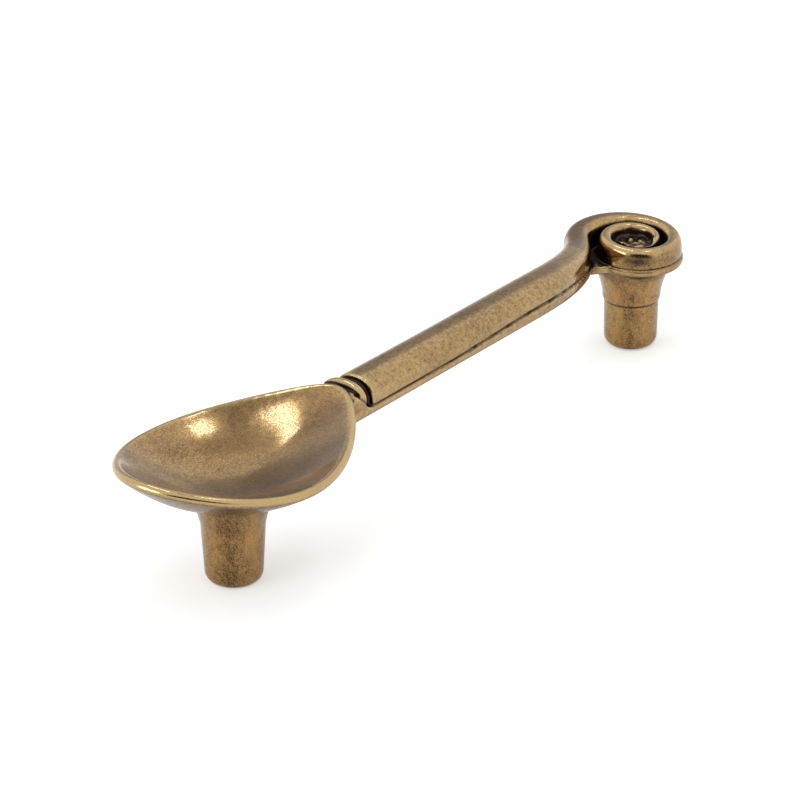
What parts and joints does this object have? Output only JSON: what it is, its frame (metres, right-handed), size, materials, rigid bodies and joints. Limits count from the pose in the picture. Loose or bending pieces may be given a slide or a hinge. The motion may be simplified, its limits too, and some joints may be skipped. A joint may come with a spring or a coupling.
{
  "type": "spoon-shaped cabinet handle",
  "caption": "Cast drawer and cabinet pull: a dished spoon bowl and a grooved half-round stem ending in a flat scroll, on two round posts with tapped holes.",
  "frame": {"origin": "middle of the casting's length and width, on the plane of the two post feet", "axes": "+X along the stem from the bowl to the scroll, +Y to the side that the scroll bulges to, +Z out of the door face"},
  "size_m": [0.1642, 0.0396, 0.0295],
  "materials": {
    "antique_brass": "antique brass plating, darkened and rubbed back on raised edges, slightly mottled satin"
  },
  "bodies": {
    "root": {"spoon_pull": "antique_brass"}
  },
  "joints": []
}
